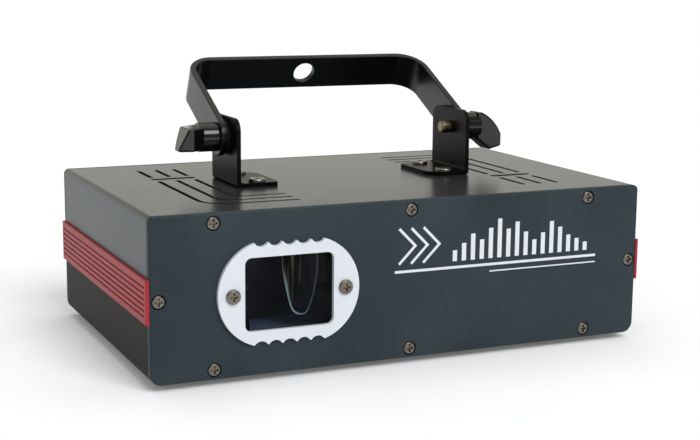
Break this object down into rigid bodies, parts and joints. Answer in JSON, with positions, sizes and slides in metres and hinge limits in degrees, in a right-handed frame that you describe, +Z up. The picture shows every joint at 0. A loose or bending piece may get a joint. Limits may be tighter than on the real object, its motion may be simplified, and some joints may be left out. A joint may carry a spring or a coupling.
{
  "type": "laser show projector",
  "caption": "Low box-shaped laser effect projector with a glazed front aperture, ribbed red side rails and a tilting U-shaped hanging yoke clamped by lever knobs.",
  "frame": {"origin": "middle of the footprint of the whole object, at the level of the feet's undersides", "axes": "+X to the right seen from the front, along the width; +Y from the front panel to the rear; +Z up"},
  "size_m": [0.243, 0.1622, 0.1301],
  "materials": {
    "shell_grey": "dark grey anodised satin",
    "panel_dark": "fine-grained dark blue-grey coat",
    "red_rail": "matt red",
    "white_plate": "satin white",
    "clear_glass": "clear",
    "black_paint": "satin black powder coat",
    "black_plastic": "satin black",
    "grey_steel": "plain zinc plate",
    "rubber": "matt black",
    "brass": "bare",
    "bare_aluminium": "machined",
    "black_anodised": "black anodised satin",
    "mirror": "polished",
    "board_green": "solder mask",
    "dark_component": "moulded black",
    "display_lens": "smoked red",
    "nickel": "bright nickel plate"
  },
  "bodies": {
    "housing": {"upper_shell": "shell_grey", "lower_shell": "shell_grey", "front_panel": "panel_dark", "rear_panel": "black_paint", "side_trim_left": "red_rail", "side_trim_right": "red_rail", "rubber_feet": "rubber", "front_screws": "grey_steel", "rear_screws": "grey_steel", "panel_screws": "grey_steel", "aperture_plate": "white_plate", "aperture_screws": "grey_steel", "window_glass": "clear_glass", "window_gasket": "rubber", "bracket_left": "black_paint", "bracket_right": "black_paint", "bracket_screws": "grey_steel", "bracket_nuts": "grey_steel", "friction_washers": "rubber", "optics_deck": "black_anodised", "standoffs": "nickel", "inner_screws": "grey_steel", "laser_modules": "brass", "laser_mounts": "black_anodised", "fixed_mirrors": "mirror", "mirror_posts": "black_anodised", "scanner_block": "black_anodised", "x_motor": "dark_component", "y_motor": "dark_component", "main_board": "board_green", "main_board_parts": "dark_component", "power_board": "board_green", "power_parts": "dark_component", "fan_frame": "black_plastic", "fan_guard": "nickel", "dmx_sockets": "nickel", "connector_pins": "brass", "inlet": "black_plastic", "power_switch": "black_plastic", "menu_board": "board_green", "menu_board_parts": "dark_component", "display": "display_lens", "microphone": "bare_aluminium", "dial_pot": "nickel"},
    "yoke": {"yoke": "black_paint"},
    "knob_left": {"knob_left": "black_plastic", "stud_left": "brass"},
    "knob_right": {"knob_right": "black_plastic", "stud_right": "brass"},
    "x_scanner": {"x_mirror": "mirror", "x_shaft": "nickel"},
    "y_scanner": {"y_mirror": "mirror", "y_shaft": "nickel"},
    "fan_rotor": {"fan_rotor": "black_plastic"},
    "power_rocker": {"power_rocker": "red_rail"},
    "sensitivity_dial": {"sensitivity_dial": "black_plastic"},
    "menu_button_1": {"menu_button_1": "black_plastic"},
    "menu_button_2": {"menu_button_2": "black_plastic"},
    "menu_button_3": {"menu_button_3": "black_plastic"},
    "menu_button_4": {"menu_button_4": "black_plastic"}
  },
  "joints": [
    {"name": "yoke_tilt", "type": "hinge", "parent": "housing", "child": "yoke", "pos_m": [0, -0.00155, 0.0966], "axis": [1, 0, 0], "range_deg": [-36, 163]},
    {"name": "knob_left_turn", "type": "hinge", "parent": "housing", "child": "knob_left", "pos_m": [-0.0647, -0.00155, 0.0966], "axis": [-1, 0, 0], "continuous": true},
    {"name": "knob_right_turn", "type": "hinge", "parent": "housing", "child": "knob_right", "pos_m": [0.0647, -0.00155, 0.0966], "axis": [1, 0, 0], "continuous": true},
    {"name": "x_scan", "type": "hinge", "parent": "housing", "child": "x_scanner", "pos_m": [-0.044, -0.05555, 0.06], "axis": [0, 0, 1], "range_deg": [-20, 20]},
    {"name": "y_scan", "type": "hinge", "parent": "housing", "child": "y_scanner", "pos_m": [-0.076, -0.03, 0.0416], "axis": [0, 1, 0], "range_deg": [-20, 20]},
    {"name": "fan_spin", "type": "hinge", "parent": "housing", "child": "fan_rotor", "pos_m": [-0.087, 0.06, 0.0388], "axis": [0, 1, 0], "continuous": true},
    {"name": "power_rock", "type": "hinge", "parent": "housing", "child": "power_rocker", "pos_m": [0.089, 0.06945, 0.05287], "axis": [1, 0, 0], "range_deg": [-18, 0]},
    {"name": "dial_turn", "type": "hinge", "parent": "housing", "child": "sensitivity_dial", "pos_m": [0.042, 0.07, 0.02405], "axis": [0, 1, 0], "range_deg": [-135, 135]},
    {"name": "menu_press_1", "type": "slide", "parent": "housing", "child": "menu_button_1", "axis": [0, -1, 0], "range_m": [0, 0.0007], "stiffness_N_per_m": 300},
    {"name": "menu_press_2", "type": "slide", "parent": "housing", "child": "menu_button_2", "axis": [0, -1, 0], "range_m": [0, 0.0007], "stiffness_N_per_m": 300},
    {"name": "menu_press_3", "type": "slide", "parent": "housing", "child": "menu_button_3", "axis": [0, -1, 0], "range_m": [0, 0.0007], "stiffness_N_per_m": 300},
    {"name": "menu_press_4", "type": "slide", "parent": "housing", "child": "menu_button_4", "axis": [0, -1, 0], "range_m": [0, 0.0007], "stiffness_N_per_m": 300}
  ]
}
